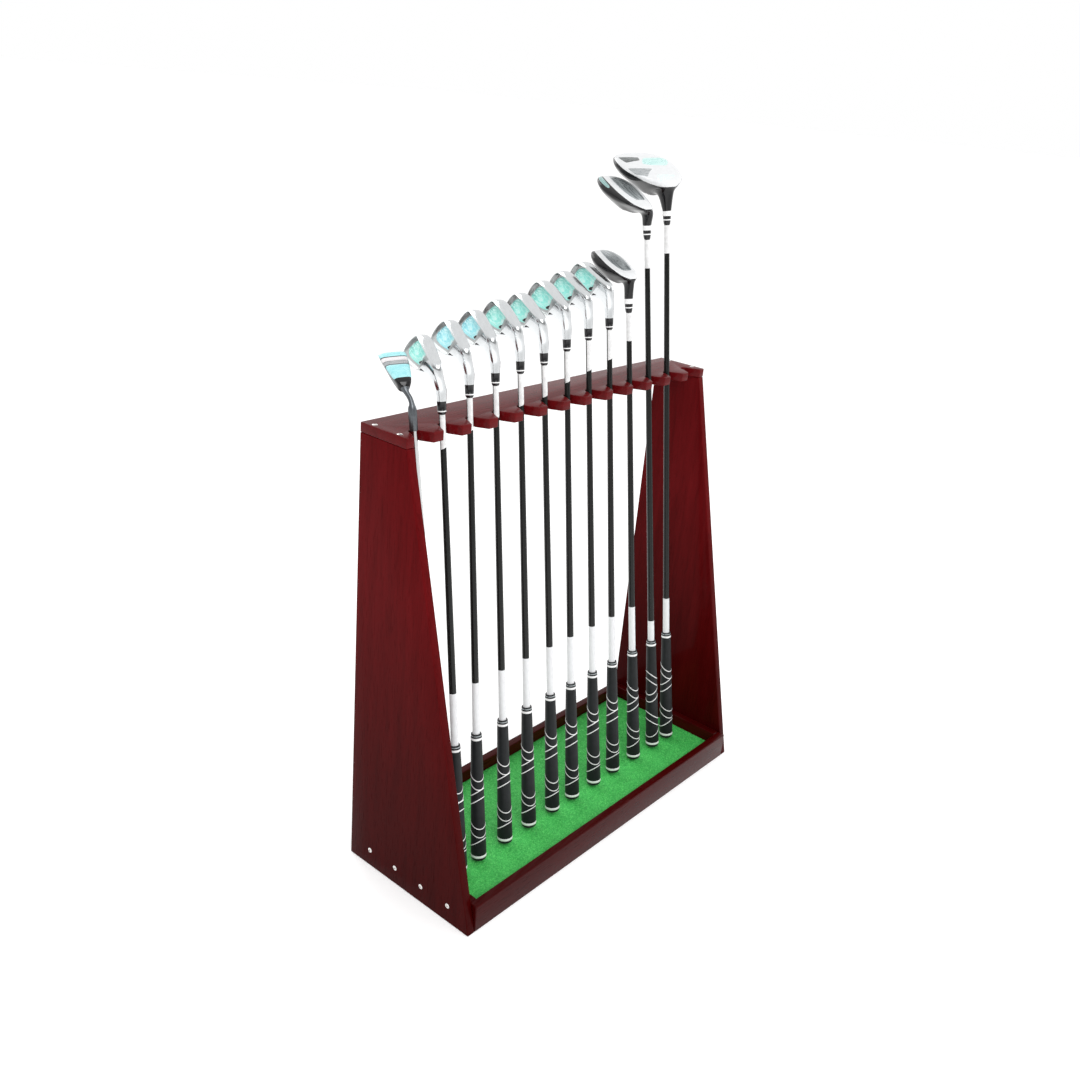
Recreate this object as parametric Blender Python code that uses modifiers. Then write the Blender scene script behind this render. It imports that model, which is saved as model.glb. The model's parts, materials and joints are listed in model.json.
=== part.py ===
"""Golf club set: a lacquered wooden rack with a turf floor that holds twelve clubs upside down.

Metres. +X runs along the rack from its left end to its right end, +Y to the back and +Z up. The origin is
the middle of the rack's underside. Each club stands on its grip and leans back into a notch of the top board.
"""

import math

import bmesh
import bpy
from mathutils import Matrix, Vector

# Rack
RACK_LENGTH = 0.790
RACK_HEIGHT = 0.800
RACK_DEPTH = 0.293
TOP_DEPTH = 0.103
BOARD = 0.016
RAIL_HEIGHT = 0.051
TURF_TOP = 0.029
TOUCH = 0.0003
ARRIS = 0.0015

# Notches in the front edge of the top board
NOTCH_COUNT = 13
NOTCH_PITCH = 0.060
NOTCH_MOUTH = 0.040
NOTCH_THROAT = 0.018
NOTCH_FUNNEL = 0.020
NOTCH_DEPTH = 0.0305
NOTCH_ARC_STEPS = 5

# Screws
SIDE_SCREW_PITCH = 0.064
SIDE_SCREW_HEIGHT = 0.032
TOP_SCREW_INSET = 0.024
SCREW_HEAD_RADIUS = 0.0045
SCREW_DOME = 0.0010
SCREW_SHANK_RADIUS = 0.0019
SIDE_SCREW_LENGTH = 0.027
TOP_SCREW_LENGTH = 0.036

# Clubs
ROUND_SIDES = 12
GRIP_LENGTH = 0.242
GRIP_BUTT_RADIUS = 0.0132
GRIP_CAP_RADIUS = 0.0138
GRIP_END_RADIUS = 0.0092
GRIP_CAP_CURVE = 0.020
BUTT_TO_HINGE = 0.016
BUTT_BACK = 0.0465
SHAFT_BUTT_RADIUS = 0.0072
SHAFT_TIP_RADIUS = 0.0048
SHAFT_WALL = 0.0014
FERRULE_BELOW = 0.013
FERRULE_ABOVE = 0.010
HOSEL_RADIUS = 0.0075
PUTTER_HOSEL_RADIUS = 0.0066
BORE_RADIUS = 0.0054
BORE_DEPTH = 0.023
WOOD_WALL = 0.0019
RING_POINTS = 14

# Name, head, distance from butt to ferrule, notch number, butt's place along the rack, loft in degrees, turn
# of the toe about the shaft in degrees, and the head's size against the largest of its kind
IRON_NAMES = ("sand_wedge", "pitching_wedge", "iron_9", "iron_8", "iron_7", "iron_6", "iron_5", "iron_4")
IRON_LENGTHS = (0.804, 0.821, 0.831, 0.842, 0.848, 0.864, 0.876, 0.888)
IRON_BUTTS = (-0.318, -0.270, -0.202, -0.137, -0.070, -0.011, 0.056, 0.118)
IRON_LOFTS = (40.0, 20.0)
IRON_TURNS = (31.0, 17.0)
IRON_SIZES = (1.05, 1.12)
OTHER_CLUBS = (
    ("putter", "putter", 0.793, 0, -0.347, 3.0, 27.0, 1.0),
    ("hybrid", "hybrid", 0.913, 9, 0.188, 22.0, 12.0, 1.0),
    ("fairway_wood", "fairway", 1.038, 10, 0.255, 16.0, 12.0, 1.0),
    ("driver", "driver", 1.061, 11, 0.306, 11.0, 12.0, 1.0),
)


# ---------------------------------------------------------------- helpers


def clear_scene():
    for item in list(bpy.data.objects):
        bpy.data.objects.remove(item, do_unlink=True)


def new_collection(name):
    collection = bpy.data.collections.new(name)
    bpy.context.scene.collection.children.link(collection)
    return collection


def new_material(name, colour, roughness, metallic=0.0):
    material = bpy.data.materials.new(name)
    material.use_nodes = True
    shader = material.node_tree.nodes["Principled BSDF"]
    shader.inputs["Base Color"].default_value = (*colour, 1.0)
    shader.inputs["Roughness"].default_value = roughness
    shader.inputs["Metallic"].default_value = metallic
    material.diffuse_color = (*colour, 1.0)
    return material


def add_object(name, mesh, collection, material=None):
    part = bpy.data.objects.new(name, mesh)
    collection.objects.link(part)
    if material:
        mesh.materials.append(material)
    return part


def add_bevel(part, segments):
    bevel = part.modifiers.new("Arris", "BEVEL")
    bevel.width = ARRIS
    bevel.segments = segments
    bevel.limit_method = "ANGLE"
    bevel.angle_limit = math.radians(40)


def add_box(name, low, high, collection, material):
    """A board between two opposite corners, with its edges rounded."""
    low, high = Vector(low), Vector(high)
    shape = bmesh.new()
    bmesh.ops.create_cube(shape, size=1.0)
    bmesh.ops.scale(shape, vec=high - low, verts=shape.verts)
    mesh = bpy.data.meshes.new(name)
    shape.to_mesh(mesh)
    shape.free()
    part = add_object(name, mesh, collection, material)
    part.location = (low + high) / 2
    add_bevel(part, 2)
    return part


def add_plate(name, outline, thickness, matrix, collection, material):
    """A flat board cut to an outline: a filled 2D curve, made a mesh with welded caps."""
    curve = bpy.data.curves.new(name, "CURVE")
    curve.dimensions = "2D"
    curve.fill_mode = "BOTH"
    curve.extrude = thickness / 2
    spline = curve.splines.new("POLY")
    spline.points.add(len(outline) - 1)
    for point, (x, y) in zip(spline.points, outline):
        point.co = (x, y, 0.0, 1.0)
    spline.use_cyclic_u = True
    guide = bpy.data.objects.new(name + "_outline", curve)
    collection.objects.link(guide)
    guide.matrix_world = matrix
    bpy.context.view_layer.update()
    mesh = bpy.data.meshes.new_from_object(guide.evaluated_get(bpy.context.evaluated_depsgraph_get()))
    shape = bmesh.new()
    shape.from_mesh(mesh)
    bmesh.ops.remove_doubles(shape, verts=shape.verts, dist=0.00001)
    bmesh.ops.dissolve_limit(shape, angle_limit=0.001, verts=shape.verts, edges=shape.edges)
    bmesh.ops.recalc_face_normals(shape, faces=shape.faces)
    shape.to_mesh(mesh)
    shape.free()
    bpy.data.objects.remove(guide)
    part = add_object(name, mesh, collection, material)
    part.matrix_world = matrix
    add_bevel(part, 1)
    return part


def add_turned(name, profile, collection, material=None, closed=False):
    """A turned shape: radius and height pairs down its outer side, spun about +Z."""
    count = len(profile)
    edges = [(i, (i + 1) % count) for i in range(count if closed else count - 1)]
    mesh = bpy.data.meshes.new(name)
    mesh.from_pydata([(radius, 0.0, height) for radius, height in profile], edges, [])
    part = add_object(name, mesh, collection, material)
    turn = part.modifiers.new("Turn", "SCREW")
    turn.steps = turn.render_steps = ROUND_SIDES
    turn.use_merge_vertices = True
    turn.merge_threshold = 0.00001
    turn.use_smooth_shade = True
    return part


# ---------------------------------------------------------------- rack


def notch_x(index):
    return (index - (NOTCH_COUNT - 1) / 2) * NOTCH_PITCH


def top_board_front():
    return RACK_DEPTH / 2 - TOP_DEPTH


def notch_points(index):
    """One notch of the front edge: a funnel, then a round-ended slot, from left to right."""
    middle, front, radius = notch_x(index), top_board_front(), NOTCH_THROAT / 2
    arc_middle = front + NOTCH_DEPTH - radius
    points = [(middle - NOTCH_MOUTH / 2, front), (middle - radius, front + NOTCH_FUNNEL)]
    for step in range(NOTCH_ARC_STEPS + 1):
        angle = math.pi * (1 - step / NOTCH_ARC_STEPS)
        points.append((middle + radius * math.cos(angle), arc_middle + radius * math.sin(angle)))
    points += [(middle + radius, front + NOTCH_FUNNEL), (middle + NOTCH_MOUTH / 2, front)]
    return points


def make_top_board(collection, material):
    front, back, half = top_board_front(), RACK_DEPTH / 2, RACK_LENGTH / 2
    outline = [(-half, front)]
    for index in range(NOTCH_COUNT):
        outline += notch_points(index)
    outline += [(half, front), (half, back), (-half, back)]
    place = Matrix.Translation((0, 0, RACK_HEIGHT - BOARD / 2))
    return add_plate("top_slot_board", outline, BOARD, place, collection, material)


def make_side_panel(name, side, collection, material):
    """A side board: upright at the back, and sloped at the front from the floor to the top board."""
    half_depth, top = RACK_DEPTH / 2, RACK_HEIGHT - BOARD - TOUCH
    outline = [(-half_depth, 0), (half_depth, 0), (half_depth, top), (top_board_front(), top)]
    upright = Matrix(((0, 0, 1, 0), (1, 0, 0, 0), (0, 1, 0, 0), (0, 0, 0, 1)))
    place = Matrix.Translation((side * (RACK_LENGTH - BOARD) / 2, 0, 0)) @ upright
    return add_plate(name, outline, BOARD, place, collection, material)


def make_tray(collection, lacquer, turf, board):
    """Four rails round a base board, with the turf mat on it. Gives the two end rails."""
    inner_x = RACK_LENGTH / 2 - BOARD - TOUCH
    half_depth = RACK_DEPTH / 2
    rail_y = half_depth - BOARD
    add_box("front_rail", (-inner_x, -half_depth, 0), (inner_x, -rail_y, RAIL_HEIGHT), collection, lacquer)
    add_box("back_rail", (-inner_x, rail_y, 0), (inner_x, half_depth, RAIL_HEIGHT), collection, lacquer)
    well_y = rail_y - TOUCH
    end_rails = {}
    for name, side in (("left_end_rail", -1), ("right_end_rail", 1)):
        near, far = sorted((side * inner_x, side * (inner_x - BOARD)))
        end_rails[side] = add_box(
            name, (near, -well_y, 0), (far, well_y, RAIL_HEIGHT), collection, lacquer
        )
    well_x = inner_x - BOARD - TOUCH
    add_box("base_board", (-well_x, -well_y, 0), (well_x, well_y, BOARD), collection, board)
    turf_low = (-well_x, -well_y, BOARD + TOUCH)
    add_box("turf_mat", turf_low, (well_x, well_y, TURF_TOP), collection, turf)
    return end_rails


def screw_profile(length, growth=0.0):
    """A countersunk screw with a slightly domed head, from the dome down to the point."""
    head, shank = SCREW_HEAD_RADIUS + growth, SCREW_SHANK_RADIUS + growth
    dome = SCREW_DOME + growth
    cone = head - shank
    return (
        (0, dome),
        (head * 0.6, dome * 0.8),
        (head, 0.0),
        (shank, -cone),
        (shank, -length + 2 * shank),
        (0, -length - growth),
    )


def add_screw(name, place, length, cut_parts, collection, cutters, material):
    """A screw in its own hole: the hole is the same shape, larger by the clearance."""
    screw = add_turned(name, screw_profile(length), collection, material)
    screw.matrix_world = place
    cutter = add_turned(name + "_hole", screw_profile(length, 2 * TOUCH), cutters)
    cutter.matrix_world = place
    cutter.hide_render = True
    cutter.display_type = "WIRE"
    for part in cut_parts:
        hole = part.modifiers.new("Hole", "BOOLEAN")
        hole.operation = "DIFFERENCE"
        hole.object = cutter


def add_side_screws(side, label, panel, end_rail, collection, cutters, material):
    facing = Matrix.Rotation(side * math.pi / 2, 4, "Y")
    for index in range(4):
        y = (index - 1.5) * SIDE_SCREW_PITCH
        place = Matrix.Translation((side * RACK_LENGTH / 2, y, SIDE_SCREW_HEIGHT)) @ facing
        name = f"{label}_panel_screw_{index + 1}"
        add_screw(name, place, SIDE_SCREW_LENGTH, (panel, end_rail), collection, cutters, material)


def add_top_screws(side, label, board, panel, collection, cutters, material):
    for index, y in enumerate((top_board_front() + TOP_SCREW_INSET, RACK_DEPTH / 2 - TOP_SCREW_INSET)):
        place = Matrix.Translation((side * (RACK_LENGTH - BOARD) / 2, y, RACK_HEIGHT))
        name = f"top_board_screw_{label}_{index + 1}"
        add_screw(name, place, TOP_SCREW_LENGTH, (board, panel), collection, cutters, material)


def make_rack(collection, cutters):
    lacquer = new_material("lacquer", (0.115, 0.012, 0.016), 0.14)
    turf = new_material("turf", (0.030, 0.250, 0.045), 0.9)
    plywood = new_material("plywood", (0.42, 0.27, 0.14), 0.6)
    steel = new_material("screw_steel", (0.80, 0.79, 0.77), 0.25, 1.0)
    board = make_top_board(collection, lacquer)
    end_rails = make_tray(collection, lacquer, turf, plywood)
    for side, label in ((-1, "left"), (1, "right")):
        panel = make_side_panel(f"{label}_side_panel", side, collection, lacquer)
        add_side_screws(side, label, panel, end_rails[side], collection, cutters, steel)
        add_top_screws(side, label, board, panel, collection, cutters, steel)


# ---------------------------------------------------------------- club heads
#
# A head is drawn in three directions, in millimetres: a to the toe, b out through the sole and c out through
# the face. The shaft's axis meets the sole at the origin. A station is a cross-section from the hosel to the
# toe: its top line point and its sole point in (a, b), the face's c and the back's c at each of them, how
# square the section is, and how far it takes part in the loft.

LIE = {"iron": 60.0, "putter": 60.0, "hybrid": 59.0, "fairway": 58.0, "driver": 58.0}
SOLE_DISTANCE = {"iron": 67.0, "putter": 46.0, "hybrid": 58.0, "fairway": 53.0, "driver": 74.0}

IRON_STATIONS = (
    ((-7, -38), (-24, -17), (8.5, -9.0), (8.5, -10.5), 2.2, 0.3),
    ((5, -38), (-14, -2.5), (6.0, -7.0), (6.0, -14), 2.8, 0.7),
    ((17, -44), (4, 0.5), (4.0, -3.0), (4.0, -18), 3.6, 1.0),
    ((33, -51), (25, 0.5), (4.0, -2.5), (4.0, -20), 4.0, 1.0),
    ((49, -57), (44, -0.5), (4.0, -2.5), (4.0, -20), 4.0, 1.0),
    ((63, -60), (60, -5), (4.0, -2.5), (4.0, -17), 3.6, 1.0),
    ((73, -54), (72, -15), (3.5, -3.0), (3.5, -11), 2.8, 1.0),
    ((78.5, -42), (78.5, -27), (2.0, -3.0), (2.0, -5), 2.2, 1.0),
)
PUTTER_STATIONS = (
    ((-5, -24), (-9, -17), (3, -5), (3, -5), 2.0, 0.0),
    ((4.5, -19.5), (1, -11), (0, -9), (0, -9), 2.2, 0.3),
    ((9, -20), (8, -4), (3, -13), (4, -15), 3.0, 0.8),
    ((15, -21), (14, -1), (5, -14), (7, -18), 4.0, 1.0),
    ((31, -21), (31, 0), (8, -16), (11, -23), 4.0, 1.0),
    ((54, -20), (54, 0), (11, -18), (15, -27), 4.0, 1.0),
    ((76, -19), (76, -1), (13, -20), (17, -29), 4.0, 1.0),
    ((84, -17), (84, -4), (13, -20), (16, -27), 3.4, 1.0),
    ((88, -14), (88, -9), (11, -19), (12, -22), 2.8, 1.0),
)
# Shares of a wood's toe distance, height and face to back depth; each wood's last size sets its face back
WOOD_STATIONS = (
    ((-0.09, -0.86), (-0.33, -0.45), (0.12, -0.15), (0.12, -0.15), 2.0, 0.2),
    ((0.03, -0.98), (-0.31, -0.17), (0.18, -0.33), (0.18, -0.32), 2.4, 0.7),
    ((0.17, -1.01), (-0.17, -0.03), (0.26, -0.57), (0.29, -0.56), 2.9, 1.0),
    ((0.41, -1.00), (0.17, 0.00), (0.30, -0.71), (0.37, -0.71), 2.9, 1.0),
    ((0.62, -0.98), (0.48, 0.00), (0.30, -0.71), (0.37, -0.71), 2.8, 1.0),
    ((0.82, -0.87), (0.74, -0.07), (0.27, -0.61), (0.31, -0.61), 2.4, 1.0),
    ((0.95, -0.72), (0.92, -0.23), (0.20, -0.41), (0.22, -0.41), 2.1, 1.0),
    ((1.00, -0.60), (0.99, -0.40), (0.09, -0.21), (0.10, -0.21), 2.0, 1.0),
)
WOOD_SIZES = {
    "hybrid": (80.0, 34.0, 54.0, 0.0, 0.0),
    "fairway": (95.0, 33.0, 64.0, 15.0, 0.0),
    "driver": (95.0, 52.0, 106.0, 0.0, 9.0),
}
# How far the crown comes down towards the sole at the back
CROWN_SLOPE = 0.5
# How much squarer a wood is at its face than at its back
FACE_SQUARENESS = 3.5


def hosel_station(distance, radius, lie):
    """A round section about the shaft's axis, at a distance above the sole."""
    angle = math.radians(lie)
    a, b = -distance * math.cos(angle), -distance * math.sin(angle)
    side_a, side_b = radius * math.sin(angle), -radius * math.cos(angle)
    return ((a + side_a, b + side_b), (a - side_a, b - side_b), (radius, -radius), (radius, -radius), 2.0, 0.0)


def wood_stations(kind):
    length, height, depth, setback, bulge = WOOD_SIZES[kind]
    stations = []
    for top, sole, at_top, at_sole, power, share in WOOD_STATIONS:
        top_point = (top[0] * length, top[1] * height)
        sole_point = (sole[0] * length, sole[1] * height)
        shift = setback * share
        swell = bulge * 4 * top[0] * (1 - top[0]) if top[0] > 0 else 0.0
        front_back = [(front * depth - shift + swell, back * depth - shift) for front, back in (at_top, at_sole)]
        stations.append((top_point, sole_point, *front_back, power, share))
    return stations


def head_stations(kind, bored):
    """Every key section from the ferrule to the toe. A bored head starts inside, at the bore's end."""
    lie, sole = LIE[kind], SOLE_DISTANCE[kind]
    rim = sole + 1000 * (FERRULE_ABOVE + FERRULE_BELOW)
    hosel = 1000 * (PUTTER_HOSEL_RADIUS if kind == "putter" else HOSEL_RADIUS)
    bore = 1000 * BORE_RADIUS
    inside = []
    if bored:
        inside = [hosel_station(rim - 1000 * BORE_DEPTH, bore, lie), hosel_station(rim, bore, lie)]
    ferrule = [
        hosel_station(rim, hosel - 0.5, lie),
        hosel_station(sole, hosel - 0.3, lie),
        hosel_station(sole - 1, hosel, lie),
    ]
    if kind == "putter":
        neck = [hosel_station(sole - 11, hosel - 0.4, lie), hosel_station(sole - 17, hosel - 2.4, lie)]
        body = PUTTER_STATIONS
    elif kind == "iron":
        neck = [hosel_station(sole - 18, hosel + 1.3, lie)]
        body = IRON_STATIONS
    else:
        neck = [hosel_station(sole - 4, hosel + 0.2, lie)]
        body = wood_stations(kind)
    return inside, ferrule + neck, list(body)


def flatten(station):
    top, sole, at_top, at_sole, power, share = station
    return [*top, *sole, *at_top, *at_sole, power, share]


def between(rows, step, spans):
    """A point on a smooth curve through rows of numbers; step counts spans' parts along the rows."""
    last = len(rows) - 1
    index = min(step // spans, last - 1)
    t = step / spans - index
    before, start = rows[max(index - 1, 0)], rows[index]
    end, after = rows[index + 1], rows[min(index + 2, last)]
    weights = (
        (-t + 2 * t**2 - t**3) / 2,
        (2 - 5 * t**2 + 3 * t**3) / 2,
        (t + 4 * t**2 - 3 * t**3) / 2,
        (t**3 - t**2) / 2,
    )
    values = zip(before, start, end, after)
    return [sum(weight * value for weight, value in zip(weights, four)) for four in values]


def squared(value, power):
    return math.copysign(abs(value) ** (2 / power), value)


def section_points(row, kind, loft, size):
    """The ring of one section, in metres, as (a, b, c)."""
    growth = 1 + (size - 1) * min(max(row[9], 0.0), 1.0)
    top, sole, at_top, at_sole = (row[index : index + 2] for index in (0, 2, 4, 6))
    power, share = max(row[8], 2.0), min(max(row[9], 0.0), 1.0)
    lean, squash = math.sin(loft) * share, 1 + (math.cos(loft) - 1) * share
    points = []
    for index in range(RING_POINTS):
        angle = 2 * math.pi * index / RING_POINTS
        squareness = power
        if kind in WOOD_SIZES and math.sin(angle) > 0:
            squareness = 2 + (power - 2) * FACE_SQUARENESS
        up, out = squared(math.cos(angle), squareness), squared(math.sin(angle), squareness)
        m = (up + 1) / 2
        a = sole[0] + (top[0] - sole[0]) * m
        b = sole[1] + (top[1] - sole[1]) * m
        face = at_sole[0] + (at_top[0] - at_sole[0]) * m
        back = at_sole[1] + (at_top[1] - at_sole[1]) * m
        c = (face + back) / 2 + out * (face - back) / 2
        if kind == "iron":
            c = cavity(c, face, up, out, a)
        elif kind in WOOD_SIZES and out < 0:
            b += (sole[1] - b) * CROWN_SLOPE * -out * share
        points.append(Vector((a * growth, b * squash * growth, (c + b * lean) * growth)) / 1000)
    return points


def cavity(c, face, up, out, a):
    """An iron's hollow back: inside the rim the back is brought up to a face 4 mm thick."""
    if out >= 0:
        return c
    along = min(max((a - 12) / 8, 0), 1) * min(max((74 - a) / 8, 0), 1)
    across = min(max((0.80 - abs(up)) / 0.25, 0), 1)
    return c + (min(face - 4, 0) - c) * along * across * 0.9 if c < face - 4 else c


def make_head(club, kind, loft, size, collection, material):
    """One closed skin through all the sections: solid and bored, or for a wood an open shell with a wall."""
    shelled = kind in WOOD_SIZES
    inside, hosel, body = head_stations(kind, bored=not shelled)
    keys = [flatten(station) for station in hosel[-2:] + body]
    rows = [flatten(station) for station in inside + hosel[:-2]]
    rows += [between(keys, step, 2) for step in range(2 * len(keys) - 1)]
    angle = math.radians(loft)
    shape = bmesh.new()
    rings = [[shape.verts.new(point) for point in section_points(row, kind, angle, size)] for row in rows]
    for ring, following in zip(rings, rings[1:]):
        for index in range(RING_POINTS):
            after = (index + 1) % RING_POINTS
            shape.faces.new((ring[index], ring[after], following[after], following[index]))
    cap_ring(shape, rings[-1])
    if not shelled:
        cap_ring(shape, rings[0])
    bmesh.ops.recalc_face_normals(shape, faces=shape.faces)
    mesh = bpy.data.meshes.new(club + "_head")
    shape.to_mesh(mesh)
    shape.free()
    head = add_object(club + "_head", mesh, collection, material)
    if shelled:
        wall = head.modifiers.new("Wall", "SOLIDIFY")
        wall.thickness = WOOD_WALL
        wall.offset = -1.0
    mesh.shade_smooth()
    return head


def cap_ring(shape, ring):
    """Close an end with a fan about the ring's middle."""
    middle = sum((vertex.co for vertex in ring), Vector()) / len(ring)
    hub = shape.verts.new(middle)
    for index, vertex in enumerate(ring):
        shape.faces.new((vertex, ring[(index + 1) % len(ring)], hub))


def head_placement(kind, ferrule_distance, toe_turn):
    """From head directions (a, b, c) to the club's own axes: x face, y towards the back, z up the shaft."""
    lie = math.radians(LIE[kind])
    turn = Matrix(
        (
            (0, 0, 1, 0),
            (math.sin(lie), -math.cos(lie), 0, 0),
            (math.cos(lie), math.sin(lie), 0, 0),
            (0, 0, 0, 1),
        )
    )
    origin = ferrule_distance - BUTT_TO_HINGE + FERRULE_ABOVE + SOLE_DISTANCE[kind] / 1000
    return Matrix.Translation((0, 0, origin)) @ Matrix.Rotation(-math.radians(toe_turn), 4, "Z") @ turn


# ---------------------------------------------------------------- shafts, grips and whole clubs


def shaft_radius(height, top):
    share = min(max(height / (top - BORE_DEPTH), 0), 1)
    return SHAFT_BUTT_RADIUS + (SHAFT_TIP_RADIUS - SHAFT_BUTT_RADIUS) * share


def make_shaft(club, ferrule_distance, collection, material):
    """A tapered tube from inside the grip to the end of the hosel's bore."""
    rim = ferrule_distance - BUTT_TO_HINGE - FERRULE_BELOW
    top = rim + BORE_DEPTH - TOUCH * 2
    outer = [(shaft_radius(z, top), z) for z in (top, rim, 0.0)]
    inner = [(radius - SHAFT_WALL, z) for radius, z in reversed(outer)]
    return add_turned(club + "_shaft", outer + inner, collection, material, closed=True)


def make_grip(club, ferrule_distance, collection, material):
    """A rubber sleeve over the shaft: domed butt cap with a rim, and a taper to the lip."""
    top = GRIP_LENGTH - BUTT_TO_HINGE
    shaft_top = ferrule_distance - BUTT_TO_HINGE - FERRULE_BELOW + BORE_DEPTH
    bore, butt_bore = shaft_radius(top, shaft_top) + TOUCH, SHAFT_BUTT_RADIUS + TOUCH
    dome_middle = GRIP_CAP_CURVE - BUTT_TO_HINGE
    profile = [(0.0, -0.004), (butt_bore, -0.004), (butt_bore, 0.0), (bore, top)]
    profile += [(GRIP_END_RADIUS, top), (GRIP_END_RADIUS + 0.0004, top - 0.010)]
    profile += [(GRIP_BUTT_RADIUS, 0.030), (GRIP_CAP_RADIUS, -0.002), (GRIP_CAP_RADIUS, -0.006)]
    for share in (0.82, 0.45, 0.0):
        radius = GRIP_CAP_RADIUS * share
        profile.append((radius, dome_middle - math.sqrt(GRIP_CAP_CURVE**2 - radius**2)))
    return add_turned(club + "_grip", profile, collection, material)


def club_placement(notch, butt_x, ferrule_distance, kind):
    """Hinge point at the butt, with z up the shaft, which touches the end of its notch."""
    hinge = Vector((butt_x, -BUTT_BACK, TURF_TOP + TOUCH + BUTT_TO_HINGE))
    radius = PUTTER_HOSEL_RADIUS if kind == "putter" else SHAFT_TIP_RADIUS + 0.0006
    seat_y = top_board_front() + NOTCH_DEPTH - radius - 3 * TOUCH
    seat = Vector((notch_x(notch), seat_y, RACK_HEIGHT))
    up = (seat - hinge).normalized()
    face = (Vector((1, 0, 0)) - up * up.x).normalized()
    turn = Matrix((face, up.cross(face), up)).transposed().to_4x4()
    return Matrix.Translation(hinge) @ turn


def make_club(club, kind, ferrule_distance, notch, butt_x, loft, toe_turn, size, collection, materials):
    hinge = bpy.data.objects.new(club + "_hinge", None)
    collection.objects.link(hinge)
    hinge.matrix_world = club_placement(notch, butt_x, ferrule_distance, kind)
    head = make_head(club, kind, loft, size, collection, materials[kind])
    head.matrix_local = head_placement(kind, ferrule_distance, toe_turn)
    shaft = make_shaft(club, ferrule_distance, collection, materials["shaft"])
    grip = make_grip(club, ferrule_distance, collection, materials["grip"])
    for part in (head, shaft, grip):
        part.parent = hinge


def make_clubs(collection):
    materials = {
        "iron": new_material("polished_steel", (0.80, 0.82, 0.82), 0.15, 1.0),
        "putter": new_material("dark_putter_steel", (0.10, 0.12, 0.13), 0.35, 0.8),
        "hybrid": new_material("hybrid_head_paint", (0.75, 0.76, 0.77), 0.25, 0.3),
        "fairway": new_material("fairway_head_paint", (0.75, 0.76, 0.77), 0.25, 0.3),
        "driver": new_material("driver_head_paint", (0.75, 0.76, 0.77), 0.25, 0.3),
        "shaft": new_material("black_shaft", (0.015, 0.015, 0.017), 0.18),
        "grip": new_material("black_rubber", (0.020, 0.020, 0.022), 0.75),
    }
    clubs = [OTHER_CLUBS[0]]
    for index, (name, distance, butt_x) in enumerate(zip(IRON_NAMES, IRON_LENGTHS, IRON_BUTTS)):
        share = index / (len(IRON_NAMES) - 1)
        changing = [first + (last - first) * share for first, last in (IRON_LOFTS, IRON_TURNS, IRON_SIZES)]
        clubs.append((name, "iron", distance, index + 1, butt_x, *changing))
    clubs += OTHER_CLUBS[1:]
    for club in clubs:
        make_club(*club, collection, materials)


def main():
    clear_scene()
    collection = new_collection("golf_club_set")
    cutters = new_collection("cutters")
    make_rack(collection, cutters)
    make_clubs(collection)
    bpy.context.view_layer.update()


main()
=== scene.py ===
"""Looks of the golf club set: the rack's boards, turf and screws, and the clubs' grips, shafts and heads.

Metres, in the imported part's frame. Every piece is meshed in place, so object coordinates are the frame's.
"""
import json
import math
import random

import bmesh
import bpy
from mathutils import Matrix, Vector


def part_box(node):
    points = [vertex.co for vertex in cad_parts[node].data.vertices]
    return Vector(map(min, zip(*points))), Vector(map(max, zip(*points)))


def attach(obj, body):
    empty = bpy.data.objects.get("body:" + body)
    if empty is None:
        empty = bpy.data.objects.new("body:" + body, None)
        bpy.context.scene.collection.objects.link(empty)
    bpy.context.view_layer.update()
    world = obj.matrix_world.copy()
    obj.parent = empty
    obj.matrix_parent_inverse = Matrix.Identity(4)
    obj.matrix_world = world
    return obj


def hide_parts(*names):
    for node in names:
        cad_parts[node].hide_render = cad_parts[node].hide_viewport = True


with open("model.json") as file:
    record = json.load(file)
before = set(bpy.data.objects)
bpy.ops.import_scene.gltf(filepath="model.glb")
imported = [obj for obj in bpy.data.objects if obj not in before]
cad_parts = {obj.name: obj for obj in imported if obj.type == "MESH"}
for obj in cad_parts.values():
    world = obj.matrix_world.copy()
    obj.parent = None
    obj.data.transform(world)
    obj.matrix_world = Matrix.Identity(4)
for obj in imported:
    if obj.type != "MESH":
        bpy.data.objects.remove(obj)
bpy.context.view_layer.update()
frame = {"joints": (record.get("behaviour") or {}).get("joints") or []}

# ---------------------------------------------------------------- sizes, as in the part's source
RACK_LENGTH, RACK_HEIGHT, RACK_DEPTH, TOP_DEPTH = 0.790, 0.800, 0.293, 0.103
BOARD, TOUCH = 0.016, 0.0003
NOTCH_COUNT, NOTCH_PITCH, NOTCH_MOUTH, NOTCH_THROAT = 13, 0.060, 0.040, 0.018
NOTCH_FUNNEL, NOTCH_DEPTH = 0.020, 0.0305
SCREW_PITCH, SCREW_HEIGHT, SCREW_INSET, SCREW_HEAD = 0.064, 0.032, 0.024, 0.0045
GRIP_LENGTH, GRIP_BUTT_RADIUS, GRIP_CAP_RADIUS, GRIP_END_RADIUS = 0.242, 0.0132, 0.0138, 0.0092
BUTT_TO_HINGE, SHAFT_BUTT_RADIUS, SHAFT_TIP_RADIUS = 0.016, 0.0072, 0.0048
FERRULE_BELOW, FERRULE_ABOVE, BORE_DEPTH = 0.013, 0.010, 0.023
HOSEL_RADIUS, PUTTER_HOSEL_RADIUS = 0.0075, 0.0066
FRONT = RACK_DEPTH / 2 - TOP_DEPTH
IRONS = ("sand_wedge", "pitching_wedge", "iron_9", "iron_8", "iron_7", "iron_6", "iron_5", "iron_4")
IRON_LENGTHS = (0.804, 0.821, 0.831, 0.842, 0.848, 0.864, 0.876, 0.888)
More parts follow.
